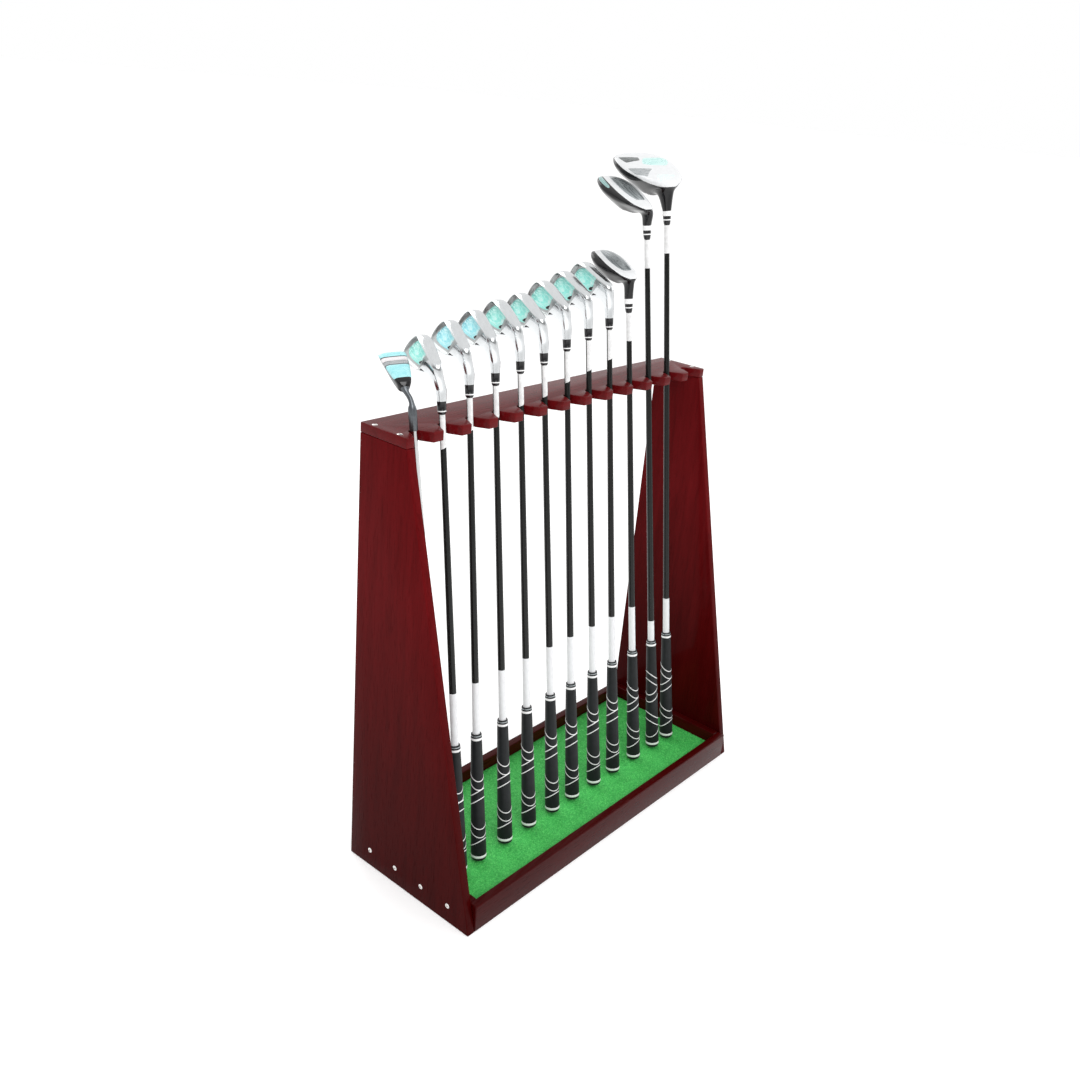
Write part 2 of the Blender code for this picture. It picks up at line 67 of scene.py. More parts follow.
# name: kind, butt to ferrule, notch, loft, toe turn, size
CLUBS = {"putter": ("putter", 0.793, 0, 3.0, 27.0, 1.0)}
for i, name in enumerate(IRONS):
    share = i / 7
    CLUBS[name] = ("iron", IRON_LENGTHS[i], i + 1, 40 - 20 * share, 31 - 14 * share, 1.05 + 0.07 * share)
CLUBS["hybrid"] = ("hybrid", 0.913, 9, 22.0, 12.0, 1.0)
CLUBS["fairway_wood"] = ("fairway", 1.038, 10, 16.0, 12.0, 1.0)
CLUBS["driver"] = ("driver", 1.061, 11, 11.0, 12.0, 1.0)
HINGES = {joint["child"]: Vector(joint["pos_m"]) for joint in frame["joints"]}


def eased(value):
    """A smooth rise from 0 to 1."""
    value = min(max(value, 0.0), 1.0)
    return value * value * (3 - 2 * value)


def add_object(name, data):
    made = bpy.data.objects.new(name, data)
    bpy.context.scene.collection.objects.link(made)
    return made


# ---------------------------------------------------------------- materials
class Nodes:
    """Helpers that build one node tree."""

    def __init__(self, tree):
        self.tree = tree

    def node(self, kind, **values):
        made = self.tree.nodes.new(kind)
        for key, value in values.items():
            if key in made.inputs:
                made.inputs[key].default_value = value
            else:
                setattr(made, key, value)
        return made

    def link(self, source, target):
        self.tree.links.new(source, target)

    def place(self, scale=(1, 1, 1), local=False):
        """Coordinates in the frame, or a piece's own ones kept in its 'local' attribute."""
        mapping = self.node("ShaderNodeMapping")
        mapping.inputs["Scale"].default_value = scale
        if local:
            source = self.node("ShaderNodeAttribute", attribute_name="local").outputs["Vector"]
        else:
            source = self.node("ShaderNodeTexCoord").outputs["Object"]
        self.link(source, mapping.inputs["Vector"])
        return mapping.outputs["Vector"]

    def noise(self, vector, scale, detail=4.0, rough=0.55, distortion=0.0):
        made = self.node("ShaderNodeTexNoise", Scale=scale, Detail=detail, Roughness=rough,
                         Distortion=distortion)
        self.link(vector, made.inputs["Vector"])
        return made.outputs["Fac"]

    def ramp(self, factor, *stops):
        made = self.node("ShaderNodeValToRGB")
        elements = made.color_ramp.elements
        while len(elements) < len(stops):
            elements.new(0.5)
        for element, (position, colour) in zip(elements, stops):
            element.position, element.color = position, (*colour, 1)
        self.link(factor, made.inputs["Fac"])
        return made.outputs["Color"]

    def span(self, factor, low, high):
        made = self.node("ShaderNodeMapRange", **{"To Min": low, "To Max": high})
        self.link(factor, made.inputs["Value"])
        return made.outputs["Result"]

    def axis(self, vector, axis):
        made = self.node("ShaderNodeSeparateXYZ")
        self.link(vector, made.inputs["Vector"])
        return made.outputs[axis]

    def mix(self, factor, first, second, blend="MIX"):
        made = self.node("ShaderNodeMix", data_type="RGBA", blend_type=blend)
        for value, socket in ((factor, made.inputs[0]), (first, made.inputs[6]), (second, made.inputs[7])):
            if isinstance(value, (int, float)):
                socket.default_value = value
            elif isinstance(value, tuple):
                socket.default_value = (*value, 1)
            else:
                self.link(value, socket)
        return made.outputs[2]

    def product(self, *factors):
        made = self.node("ShaderNodeMath", operation="MULTIPLY")
        for factor, socket in zip(factors, made.inputs):
            self.link(factor, socket)
        return made.outputs[0]


class Paint(Nodes):
    """A Principled material with its nodes."""

    def __init__(self, name, colour, roughness, metallic=0.0, coat=0.0, **sockets):
        self.material = bpy.data.materials.new(name)
        self.material.use_nodes = True
        super().__init__(self.material.node_tree)
        self.shader = self.tree.nodes["Principled BSDF"]
        values = {"Base Color": (*colour, 1), "Roughness": roughness, "Metallic": metallic,
                  "Coat Weight": coat, "Coat Roughness": 0.03, **sockets}
        for socket, value in values.items():
            self.shader.inputs[socket].default_value = value
        self.material.diffuse_color = (*colour, 1)

    def colour(self, output):
        self.link(output, self.shader.inputs["Base Color"])

    def roughness(self, output):
        self.link(output, self.shader.inputs["Roughness"])

    def bump(self, output, distance, strength, coat=False):
        made = self.node("ShaderNodeBump", Strength=strength, Distance=distance)
        self.link(output, made.inputs["Height"])
        for socket in ("Normal", "Coat Normal")[:2 if coat else 1]:
            self.link(made.outputs["Normal"], self.shader.inputs[socket])


def lacquer_paint(name, grain, coat):
    """Red-brown stained wood under lacquer, with painted shade that darkens it towards the floor; grain is
    the scale along each axis.
    """
    paint = Paint(name, (0.07, 0.005, 0.006), 0.3, coat=coat, **{"Specular IOR Level": 0.4 * coat})
    vector = paint.place(grain)
    wood = paint.noise(vector, 6.0, 6.0, 0.62, 0.6)
    fine = paint.noise(vector, 38.0, 3.0, 0.5)
    stain = paint.ramp(wood, (0.30, (0.078, 0.0024, 0.0032)), (0.52, (0.098, 0.0034, 0.0046)),
                       (0.74, (0.116, 0.0044, 0.0058)))
    pores = paint.ramp(fine, (0.36, (0.50, 0.42, 0.42)), (0.48, (1, 1, 1)))
    grained = paint.mix(0.30, stain, pores, "MULTIPLY")
    # Painted shade: a ramp on the height in the frame darkens the colour towards the floor
    low = paint.ramp(paint.axis(paint.place(), "Z"),
                     (0.02, (0.40, 0.34, 0.26)), (0.22, (0.52, 0.44, 0.36)), (0.55, (1, 1, 1)))
    paint.colour(paint.mix(1.0, grained, low, "MULTIPLY"))
    paint.roughness(paint.span(fine, 0.22, 0.36))
    paint.bump(paint.noise(paint.place(), 55.0, 2.0, 0.4), 0.00035, 0.10, coat=True)
    return paint.material


def turf_paint(name, level):
    paint = Paint(name, (0.03, 0.30, 0.05), 0.75)
    speck = paint.noise(paint.place(), 420.0, 3.0, 0.7)
    patch = paint.noise(paint.place(), 22.0, 3.0, 0.5)
    low, middle, high = [tuple(level * c for c in colour) for colour in
                         ((0.016, 0.25, 0.040), (0.036, 0.42, 0.070), (0.13, 0.64, 0.14))]
    base = paint.ramp(speck, (0.32, low), (0.50, middle), (0.70, high))
    tint = paint.ramp(patch, (0.35, (0.86, 0.92, 0.88)), (0.65, (1, 1, 1)))
    paint.colour(paint.mix(1.0, base, tint, "MULTIPLY"))
    paint.roughness(paint.span(speck, 0.6, 0.85))
    paint.bump(speck, 0.0006, 0.5)
    return paint.material


def plywood_paint():
    paint = Paint("plywood", (0.42, 0.27, 0.14), 0.6)
    grain = paint.noise(paint.place((2, 40, 40)), 8.0, 6.0, 0.6, 0.4)
    paint.colour(paint.ramp(grain, (0.3, (0.30, 0.18, 0.085)), (0.7, (0.50, 0.34, 0.19))))
    paint.roughness(paint.span(grain, 0.5, 0.7))
    paint.bump(grain, 0.0003, 0.3)
    return paint.material


def metal_paint(name, colour, low, high, scale, stretch=(1, 1, 1), bump=0.00004, metallic=1.0,
                dulled=0.86):
    """Brushed metal between two roughnesses; dulled is the share of its colour left in the streaks."""
    paint = Paint(name, colour, (low + high) / 2, metallic)
    streak = paint.noise(paint.place(stretch, local=True), scale, 4.0, 0.55)
    dull = tuple(dulled * c for c in colour)
    paint.colour(paint.ramp(streak, (0.3, dull), (0.65, colour)))
    paint.roughness(paint.span(streak, low, high))
    paint.bump(streak, bump, 0.25)
    return paint.material


def enamel_paint(name, colour, roughness, coat, variation=0.10):
    """A sprayed gloss paint: a faint mottle and orange peel."""
    paint = Paint(name, colour, roughness, coat=coat, **{"Specular IOR Level": 0.18})
    mottle = paint.noise(paint.place(local=True), 140.0, 3.0, 0.5)
    shade = tuple(c * (1 - variation) for c in colour)
    paint.colour(paint.ramp(mottle, (0.35, shade), (0.6, colour)))
    paint.roughness(paint.span(mottle, roughness * 0.7, roughness * 1.3))
    paint.bump(paint.noise(paint.place(local=True), 420.0, 1.0, 0.4), 0.00012, 0.12, coat=True)
    return paint.material


def rubber_paint(name, colour):
    """Grip rubber with a fine diamond texture."""
    sockets = {"Specular IOR Level": 0.25, "Sheen Weight": 0.05, "Sheen Roughness": 0.5}
    paint = Paint(name, colour, 0.55, **sockets)
    vector = paint.place(local=True)
    cloudy = paint.noise(vector, 60.0, 4.0, 0.55)
    grain = paint.noise(vector, 900.0, 2.0, 0.5)
    light = tuple(1.9 * c for c in colour)
    paint.colour(paint.ramp(cloudy, (0.35, colour), (0.70, light)))
    paint.roughness(paint.span(grain, 0.45, 0.66))
    paint.bump(grain, 0.0003, 0.5)
    return paint.material


def badge_paint(name, pale, deep, dark):
    """A cavity badge: brushed mint enamel, streaked from its heel corner and deeper at the toe."""
    paint = Paint(name, pale, 0.22, 0.25, coat=0.7)
    vector = paint.place((1, 3.2, 1), local=True)
    brush = paint.noise(vector, 3.4, 5.0, 0.62, 1.6)
    fine = paint.noise(paint.place((2, 9, 1), local=True), 5.0, 4.0, 0.6, 0.8)
    along = paint.axis(paint.place(local=True), "X")
    colour = paint.ramp(brush, (0.30, deep), (0.46, pale), (0.72, (0.80, 0.97, 0.95)))
    streaks = paint.ramp(fine, (0.30, (0.62, 0.80, 0.80)), (0.44, (1, 1, 1)))
    colour = paint.mix(0.7, colour, streaks, "MULTIPLY")
    toe = paint.product(paint.ramp(along, (0.55, (0, 0, 0)), (0.95, (1, 1, 1))),
                        paint.ramp(brush, (0.38, (1, 1, 1)), (0.60, (0, 0, 0))))
    paint.colour(paint.mix(toe, colour, dark))
    paint.roughness(paint.span(fine, 0.16, 0.34))
    paint.bump(fine, 0.0001, 0.25)
    return paint.material


def streak_paint(name, dark, light, stretch, scale, metallic=0.5):
    """A brushed, streaked panel, its streaks along the piece's own first direction."""
    paint = Paint(name, light, 0.28, metallic, coat=0.5)
    streak = paint.noise(paint.place(stretch, local=True), scale, 6.0, 0.66, 1.4)
    middle = tuple((a + b) / 2 for a, b in zip(dark, light))
    paint.colour(paint.ramp(streak, (0.36, dark), (0.52, middle), (0.66, light)))
    paint.roughness(paint.span(streak, 0.18, 0.38))
    paint.bump(streak, 0.0001, 0.3)
    return paint.material


PAINTS = {
    "lacquer_x": lacquer_paint("lacquer_along_x", (1.0, 11.0, 11.0), 0.11),
    "lacquer_y": lacquer_paint("lacquer_along_y", (11.0, 1.0, 11.0), 0.10),
    "lacquer_z": lacquer_paint("lacquer_along_z", (11.0, 11.0, 1.0), 0.035),
    "turf": turf_paint("turf_pile", 1.0),
    "blade": turf_paint("turf_blades", 1.25),
    "plywood": plywood_paint(),
    "screw": metal_paint("screw_steel", (0.80, 0.78, 0.76), 0.16, 0.34, 300.0),
    "chrome": metal_paint("polished_iron", (0.70, 0.72, 0.73), 0.12, 0.21, 60.0, (1, 1, 3), 0.00002,
                          dulled=0.93),
    "satin": metal_paint("satin_iron_cavity", (0.44, 0.46, 0.46), 0.22, 0.38, 500.0, (1, 1, 6)),
    "score": metal_paint("score_lines", (0.05, 0.05, 0.055), 0.4, 0.6, 200.0, metallic=0.6),
    "steel_shaft": metal_paint("steel_shaft", (0.72, 0.73, 0.73), 0.08, 0.2, 60.0, (1, 1, 0.2)),
    "putter": metal_paint("dark_putter_steel", (0.115, 0.125, 0.135), 0.26, 0.42, 260.0, (1, 1, 4),
                          metallic=0.85),
    "black": enamel_paint("black_gloss", (0.006, 0.006, 0.007), 0.16, 0.35),
    "shaft": enamel_paint("black_shaft", (0.007, 0.0075, 0.007), 0.20, 0.15),
    "white": enamel_paint("white_gloss", (0.70, 0.71, 0.72), 0.2, 0.4, variation=0.05),
    "label": enamel_paint("label_white", (0.74, 0.74, 0.74), 0.35, 0.2, variation=0.12),
    "ferrule": enamel_paint("ferrule_black", (0.010, 0.010, 0.011), 0.25, 0.4),
    "rubber": rubber_paint("black_rubber", (0.0065, 0.0075, 0.0085)),
    "ring": enamel_paint("white_ring", (0.84, 0.84, 0.84), 0.4, 0.1, variation=0.06),
    "mint": badge_paint("mint_badge", (0.30, 0.86, 0.76), (0.16, 0.66, 0.60), (0.015, 0.25, 0.21)),
    "cyan": badge_paint("cyan_badge", (0.34, 0.84, 0.90), (0.14, 0.58, 0.70), (0.03, 0.30, 0.40)),
    "panel_cyan": streak_paint(
        "putter_cyan_panel", (0.26, 0.66, 0.70), (0.52, 0.86, 0.88), (1, 1, 1), 1.2, 0.2),
    "panel_pale": streak_paint(
        "putter_pale_band", (0.62, 0.58, 0.60), (0.90, 0.88, 0.88), (6, 1, 1), 1.6, 0.2),
    "panel_grey": streak_paint("grey_panel", (0.16, 0.18, 0.19), (0.52, 0.56, 0.57), (1, 4, 1), 2.2),
    "panel_light": streak_paint(
        "light_grey_panel", (0.30, 0.32, 0.33), (0.50, 0.52, 0.53), (1, 3, 1), 1.4, 0.4),
    "panel_mint": streak_paint(
        "mint_tint_panel", (0.38, 0.70, 0.66), (0.72, 0.88, 0.86), (1, 2, 1), 1.5, 0.3),
    "panel_teal": streak_paint(
        "teal_skirt_panel", (0.10, 0.26, 0.25), (0.50, 0.72, 0.70), (1, 1, 1), 1.6, 0.25),
    "panel_tint": streak_paint(
        "pale_tint_panel", (0.70, 0.86, 0.83), (0.84, 0.90, 0.89), (1, 1, 1), 1.2, 0.3),
    "panel_dark": streak_paint("dark_panel", (0.045, 0.050, 0.052), (0.20, 0.22, 0.22), (1, 3, 1), 1.8, 0.4),
}


# ---------------------------------------------------------------- mesh helpers
def finish_mesh(name, shape, slots, body, record_slot, replaced=(), smooth=35.0, local=None):
    """A bmesh, already in place, as a piece that rides on a body. local: a position for each vertex, as the
    materials see it."""
    mesh = bpy.data.meshes.new(name)
    bmesh.ops.recalc_face_normals(shape, faces=shape.faces)
    shape.to_mesh(mesh)
    shape.free()
    for paint in slots:
        mesh.materials.append(PAINTS[paint])
    mesh.shade_smooth()
    mesh.set_sharp_from_angle(angle=math.radians(smooth))
    if local is not None:
        attribute = mesh.attributes.new("local", "FLOAT_VECTOR", "POINT")
        attribute.data.foreach_set("vector", [c for point in local for c in point])
    piece = add_object(name, mesh)
    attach(piece, body)
    if replaced:
        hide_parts(*replaced)
    return piece


def polar(radius, angle, height):
    return Vector((radius * math.cos(angle), radius * math.sin(angle), height))


def vertex(shape, place, point, local):
    """Adds a point in its place, and keeps the point itself for the materials."""
    local.append(point)
    return shape.verts.new(place @ point)


def skin(shape, rings, closed=True, slot=None):
    """Faces between neighbouring rings, or open rows. A ring of one vertex is a pole. slot: a face's material
    index, from its ring and its place in the ring."""
    for r, (upper, lower) in enumerate(zip(rings, rings[1:])):
        count = max(len(upper), len(lower))
        for i in range(count if closed else count - 1):
            j = (i + 1) % count
            corners = [ring[k % len(ring)] for ring, k in ((upper, i), (upper, j), (lower, j), (lower, i))]
            face = shape.faces.new(list(dict.fromkeys(corners)))
            face.material_index = slot(r, i) if slot else 0


def prism(shape, outline, low, high, lift):
    """A solid between two heights of an outline; lift turns (u, v, height) into a place."""
    rings = [[shape.verts.new(lift(u, v, h)) for u, v in outline] for h in (low, high)]
    skin(shape, rings)
    shape.faces.new(rings[1])
    shape.faces.new(list(reversed(rings[0])))


def round_edges(shape, width):
    bmesh.ops.recalc_face_normals(shape, faces=shape.faces)
    sharp = [e for e in shape.edges if e.is_manifold and e.calc_face_angle(0) > math.radians(40)]
    bmesh.ops.bevel(shape, geom=sharp, offset=width, segments=4, profile=0.5, affect="EDGES",
                    clamp_overlap=True)


def rectangle(low, high):
    return [(low.x, low.y), (high.x, low.y), (high.x, high.y), (low.x, high.y)]


def board(node, outline, low, high, lift, paint, slot="lacquer", width=0.0016, holes=()):
    """A rack board between two heights of its outline, its edges rounded by width."""
    shape = bmesh.new()
    prism(shape, outline, low, high, lift)
    round_edges(shape, width)
    piece = finish_mesh(node + "_look", shape, [paint], "rack", slot, (node,))
    if holes:
        cut_holes(piece, holes)


def cut_holes(piece, holes):
    """Countersunk holes: places with +Z out of the face."""
    drill = ((0, 0.004), (0.00485, 0.004), (0.00485, 0.0), (0.0022, -0.0027), (0.0022, -0.0160), (0, -0.0160))
    shape = bmesh.new()
    for place in holes:
        turned(shape, drill, 24, place, [])
    bmesh.ops.recalc_face_normals(shape, faces=shape.faces)
    mesh = bpy.data.meshes.new("cutter")
    shape.to_mesh(mesh)
    shape.free()
    cutter = add_object("cutter", mesh)
    modifier = piece.modifiers.new("Hole", "BOOLEAN")
    modifier.operation, modifier.object, modifier.solver = "DIFFERENCE", cutter, "EXACT"
    bpy.context.view_layer.update()
    cut = bpy.data.meshes.new_from_object(piece.evaluated_get(bpy.context.evaluated_depsgraph_get()))
    piece.modifiers.clear()
    old, piece.data = piece.data, cut
    cut.name = piece.name
    cut.set_sharp_from_angle(angle=math.radians(35))
    bpy.data.objects.remove(cutter)
    bpy.data.meshes.remove(old)


def turned(shape, profile, sides, place, local, slots=None, closed=False):
    """Spins (radius, height) pairs, listed down the outer side. slots: a material index for each span."""
    rings = []
    for radius, height in profile:
        count = sides if radius > 1e-7 else 1
        rings.append([vertex(shape, place, polar(radius, 2 * math.pi * i / count, height), local)
                      for i in range(count)])
    if closed:
        rings.append(rings[0])
    skin(shape, rings, slot=lambda r, i: slots[r] if slots else 0)


# ---------------------------------------------------------------- rack
SIDES = ((-1, "left"), (1, "right"))


def notch_x(index):
    return (index - (NOTCH_COUNT - 1) / 2) * NOTCH_PITCH


def notch_points(index):
    """The funnel and the round-ended slot behind it."""
    middle, radius = notch_x(index), NOTCH_THROAT / 2
    points = [(middle - NOTCH_MOUTH / 2, FRONT), (middle - radius, FRONT + NOTCH_FUNNEL)]
    for step in range(17):
        angle = math.pi * (1 - step / 16)
        points.append((middle + radius * math.cos(angle),
                       FRONT + NOTCH_DEPTH - radius + radius * math.sin(angle)))
    return points + [(middle + radius, FRONT + NOTCH_FUNNEL), (middle + NOTCH_MOUTH / 2, FRONT)]


def side_places(side):
    turn = Matrix.Rotation(side * math.pi / 2, 4, "Y")
    return [Matrix.Translation((side * RACK_LENGTH / 2, (i - 1.5) * SCREW_PITCH, SCREW_HEIGHT)) @ turn
            for i in range(4)]


def top_places(side):
    return [Matrix.Translation((side * (RACK_LENGTH - BOARD) / 2, y, RACK_HEIGHT))
            for y in (FRONT + SCREW_INSET, RACK_DEPTH / 2 - SCREW_INSET)]


def make_rack():
    half, deep = RACK_LENGTH / 2, RACK_DEPTH / 2
    outline = [(-half, FRONT)]
    for index in range(NOTCH_COUNT):
        outline += notch_points(index)
    outline += [(half, FRONT), (half, deep), (-half, deep)]

    def flat(u, v, height):
        return u, v, height

    def upright(u, v, across):
        return across, u, v

    board("top_slot_board", outline, RACK_HEIGHT - BOARD, RACK_HEIGHT, flat, "lacquer_x",
          holes=top_places(-1) + top_places(1))
    top = RACK_HEIGHT - BOARD - TOUCH
    profile = [(-deep, 0), (deep, 0), (deep, top), (FRONT, top)]
    for side, label in SIDES:
        low, high = sorted((side * half, side * (half - BOARD)))
        board(label + "_side_panel", profile, low, high, upright, "lacquer_z", holes=side_places(side))
    for node, paint in (("front_rail", "lacquer_x"), ("back_rail", "lacquer_x"),
                        ("left_end_rail", "lacquer_y"), ("right_end_rail", "lacquer_y")):
        low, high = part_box(node)
        board(node, rectangle(low, high), low.z, high.z, flat, paint)
    low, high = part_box("base_board")
    board("base_board", rectangle(low, high), low.z, high.z, flat, "plywood", "plywood", 0.0006)
    make_turf()
    make_screws()


def make_turf():
    """The mat: a lumpy pile surface, with short blades standing in it."""
    random.seed(41)
    low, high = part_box("turf_mat")
    step = 0.0030
    columns, rows = int((high.x - low.x) / step), int((high.y - low.y) / step)
    shape = bmesh.new()
    grid, pile = [], high.z - 0.0004
    for j in range(rows + 1):
        line = []
        for i in range(columns + 1):
            edge = i in (0, columns) or j in (0, rows)
            x = low.x + (high.x - low.x) * i / columns
            y = low.y + (high.y - low.y) * j / rows
            if not edge:
                x += random.uniform(-0.0008, 0.0008)
                y += random.uniform(-0.0008, 0.0008)
            z = pile - (0.0016 if edge else random.uniform(0.0, 0.0024))
            line.append(shape.verts.new((x, y, z)))
        grid.append(line)
    skin(shape, grid, closed=False)
    border = grid[0] + [line[-1] for line in grid[1:]]
    border += grid[-1][-2::-1] + [line[0] for line in grid[-2:0:-1]]
    foot = [shape.verts.new((v.co.x, v.co.y, low.z)) for v in border]
    skin(shape, [border, foot])
    shape.faces.new(foot)
    finish_mesh("turf_mat_pile", shape, ["turf"], "rack", "turf", ("turf_mat",), smooth=180)
    shape = bmesh.new()
    for _ in range(9000):
        x, y = (random.uniform(low[axis] + 0.002, high[axis] - 0.002) for axis in (0, 1))
        turn, lean = random.uniform(0, math.tau), random.uniform(0.2, 1.1)
        tall, wide = random.uniform(0.0016, 0.0030), random.uniform(0.0005, 0.0009)
        across = Vector((math.cos(turn), math.sin(turn), 0)) * wide / 2
        away = Vector((-math.sin(turn), math.cos(turn), 0)) * tall * math.sin(lean)
        root = Vector((x, y, high.z - 0.0022))
        mid = root + away * 0.35 + Vector((0, 0, tall * 0.6))
        tip = root + away + Vector((0, 0, min(tall * math.cos(lean * 0.5), 0.0030)))
        blade = (root - across, root + across, mid + across * 0.8, mid - across * 0.8, tip)
        a, b, c, d, e = (shape.verts.new(point) for point in blade)
        shape.faces.new((a, b, c, d))
        shape.faces.new((d, c, e))
    finish_mesh("turf_mat_blades", shape, ["blade"], "rack", "turf", (), smooth=180)


def make_screws():
    """Countersunk screws, a cross recess in each domed head."""
    names = [(f"{label}_panel_screw_{i + 1}", place) for side, label in SIDES
             for i, place in enumerate(side_places(side))]
    names += [(f"top_board_screw_{label}_{i + 1}", place) for side, label in SIDES
              for i, place in enumerate(top_places(side))]
    shank = ((SCREW_HEAD, -0.0001), (0.0019, -0.0026), (0.0019, -0.0140), (0.0, -0.0155))
    for number, (name, place) in enumerate(names):
        spin = Matrix.Rotation(0.35 + 0.83 * number, 4, "Z")
        shape, local = bmesh.new(), []
        cross_head(shape, place @ spin, local)
        turned(shape, shank, 24, place, local)
        finish_mesh(name + "_look", shape, ["screw"], "rack", "screw_steel", (name,), 40, local)


def cross_head(shape, place, local):
    """The head's dome as a grid pressed down in a cross."""
    spans, sides = 15, 48
    rings = []
    for r in range(spans + 1):
        radius = SCREW_HEAD * r / spans
        count = sides if r else 1
        ring = []
        for i in range(count):
            angle = 2 * math.pi * i / count
            point = polar(radius, angle, 0.0009 * (1 - (radius / SCREW_HEAD) ** 2))
            near, far = sorted((abs(point.x), abs(point.y)))
            if near < 0.00062 and far < 0.0027:
                point.z -= 0.0011
            ring.append(vertex(shape, place, point, local))
        rings.append(ring)
    skin(shape, rings)


# ---------------------------------------------------------------- heads: the part's sections, drawn finer
LIE = {"iron": 60.0, "putter": 60.0, "hybrid": 59.0, "fairway": 58.0, "driver": 58.0}
SOLE_DISTANCE = {"iron": 67.0, "putter": 46.0, "hybrid": 58.0, "fairway": 53.0, "driver": 74.0}
# Key sections from the heel to the toe, in head millimetres: top (along, up), sole (along, up), depth of the
# face and the back at the top and at the sole, squareness, and the share of loft and size that acts there
IRON_STATIONS = (
    ((-7, -38), (-24, -17), (8.5, -9.0), (8.5, -10.5), 2.2, 0.3),
    ((5, -38), (-14, -2.5), (6.0, -7.0), (6.0, -14), 2.8, 0.7),
    ((17, -44), (4, 0.5), (4.0, -3.0), (4.0, -18), 3.6, 1.0),
    ((33, -51), (25, 0.5), (4.0, -2.5), (4.0, -20), 4.0, 1.0),
    ((49, -57), (44, -0.5), (4.0, -2.5), (4.0, -20), 4.0, 1.0),
    ((63, -60), (60, -5), (4.0, -2.5), (4.0, -17), 3.6, 1.0),
    ((73, -54), (72, -15), (3.5, -3.0), (3.5, -11), 2.8, 1.0),
    ((78.5, -42), (78.5, -27), (2.0, -3.0), (2.0, -5), 2.2, 1.0),
)
PUTTER_STATIONS = (
    ((-5, -24), (-9, -17), (3, -5), (3, -5), 2.0, 0.0),
    ((4.5, -19.5), (1, -11), (0, -9), (0, -9), 2.2, 0.3),
    ((9, -20), (8, -4), (3, -13), (4, -15), 3.0, 0.8),
    ((15, -21), (14, -1), (5, -14), (7, -18), 4.0, 1.0),
    ((31, -21), (31, 0), (8, -16), (11, -23), 4.0, 1.0),
    ((54, -20), (54, 0), (11, -18), (15, -27), 4.0, 1.0),
    ((76, -19), (76, -1), (13, -20), (17, -29), 4.0, 1.0),
    ((84, -17), (84, -4), (13, -20), (16, -27), 3.4, 1.0),
    ((88, -14), (88, -9), (11, -19), (12, -22), 2.8, 1.0),
)
# The woods' are in shares of the head's length, height and depth
WOOD_STATIONS = (
    ((-0.09, -0.86), (-0.33, -0.45), (0.12, -0.15), (0.12, -0.15), 2.0, 0.2),
    ((0.03, -0.98), (-0.31, -0.17), (0.18, -0.33), (0.18, -0.32), 2.4, 0.7),
    ((0.17, -1.01), (-0.17, -0.03), (0.26, -0.57), (0.29, -0.56), 2.9, 1.0),
    ((0.41, -1.00), (0.17, 0.00), (0.30, -0.71), (0.37, -0.71), 2.9, 1.0),
    ((0.62, -0.98), (0.48, 0.00), (0.30, -0.71), (0.37, -0.71), 2.8, 1.0),
    ((0.82, -0.87), (0.74, -0.07), (0.27, -0.61), (0.31, -0.61), 2.4, 1.0),
    ((0.95, -0.72), (0.92, -0.23), (0.20, -0.41), (0.22, -0.41), 2.1, 1.0),
    ((1.00, -0.60), (0.99, -0.40), (0.09, -0.21), (0.10, -0.21), 2.0, 1.0),
)
# Length, height, depth, the face's setback and its swell
WOOD_SIZES = {
    "hybrid": (80.0, 34.0, 54.0, 0.0, 0.0),
    "fairway": (95.0, 33.0, 64.0, 15.0, 0.0),
    "driver": (95.0, 52.0, 106.0, 0.0, 9.0),
}
CROWN_SLOPE, FACE_SQUARENESS, IRON_BLADE = 0.5, 3.5, 4.0
# The woods' finer skins are kept inside the CAD box
WOOD_SKIN_SIZE, WOOD_SKIN_DROP = 0.99, 0.0003
SLOTS = {"iron": "iron_steel", "putter": "putter_steel", "hybrid": "hybrid_paint", "fairway": "fairway_paint",
         "driver": "driver_paint"}


def hosel_station(distance, radius, lie):
    angle = math.radians(lie)
    a, b = -distance * math.cos(angle), -distance * math.sin(angle)
    side_a, side_b = radius * math.sin(angle), -radius * math.cos(angle)
    round_section = (radius, -radius)
    return (a + side_a, b + side_b), (a - side_a, b - side_b), round_section, round_section, 2.0, 0.0


def wood_stations(kind):
    along, high, deep, setback, bulge = WOOD_SIZES[kind]
    for top, sole, at_top, at_sole, power, share in WOOD_STATIONS:
        shift = setback * share
        swell = bulge * 4 * top[0] * (1 - top[0]) if top[0] > 0 else 0.0
        depths = [(front * deep - shift + swell, rear * deep - shift) for front, rear in (at_top, at_sole)]
        yield (top[0] * along, top[1] * high), (sole[0] * along, sole[1] * high), *depths, power, share


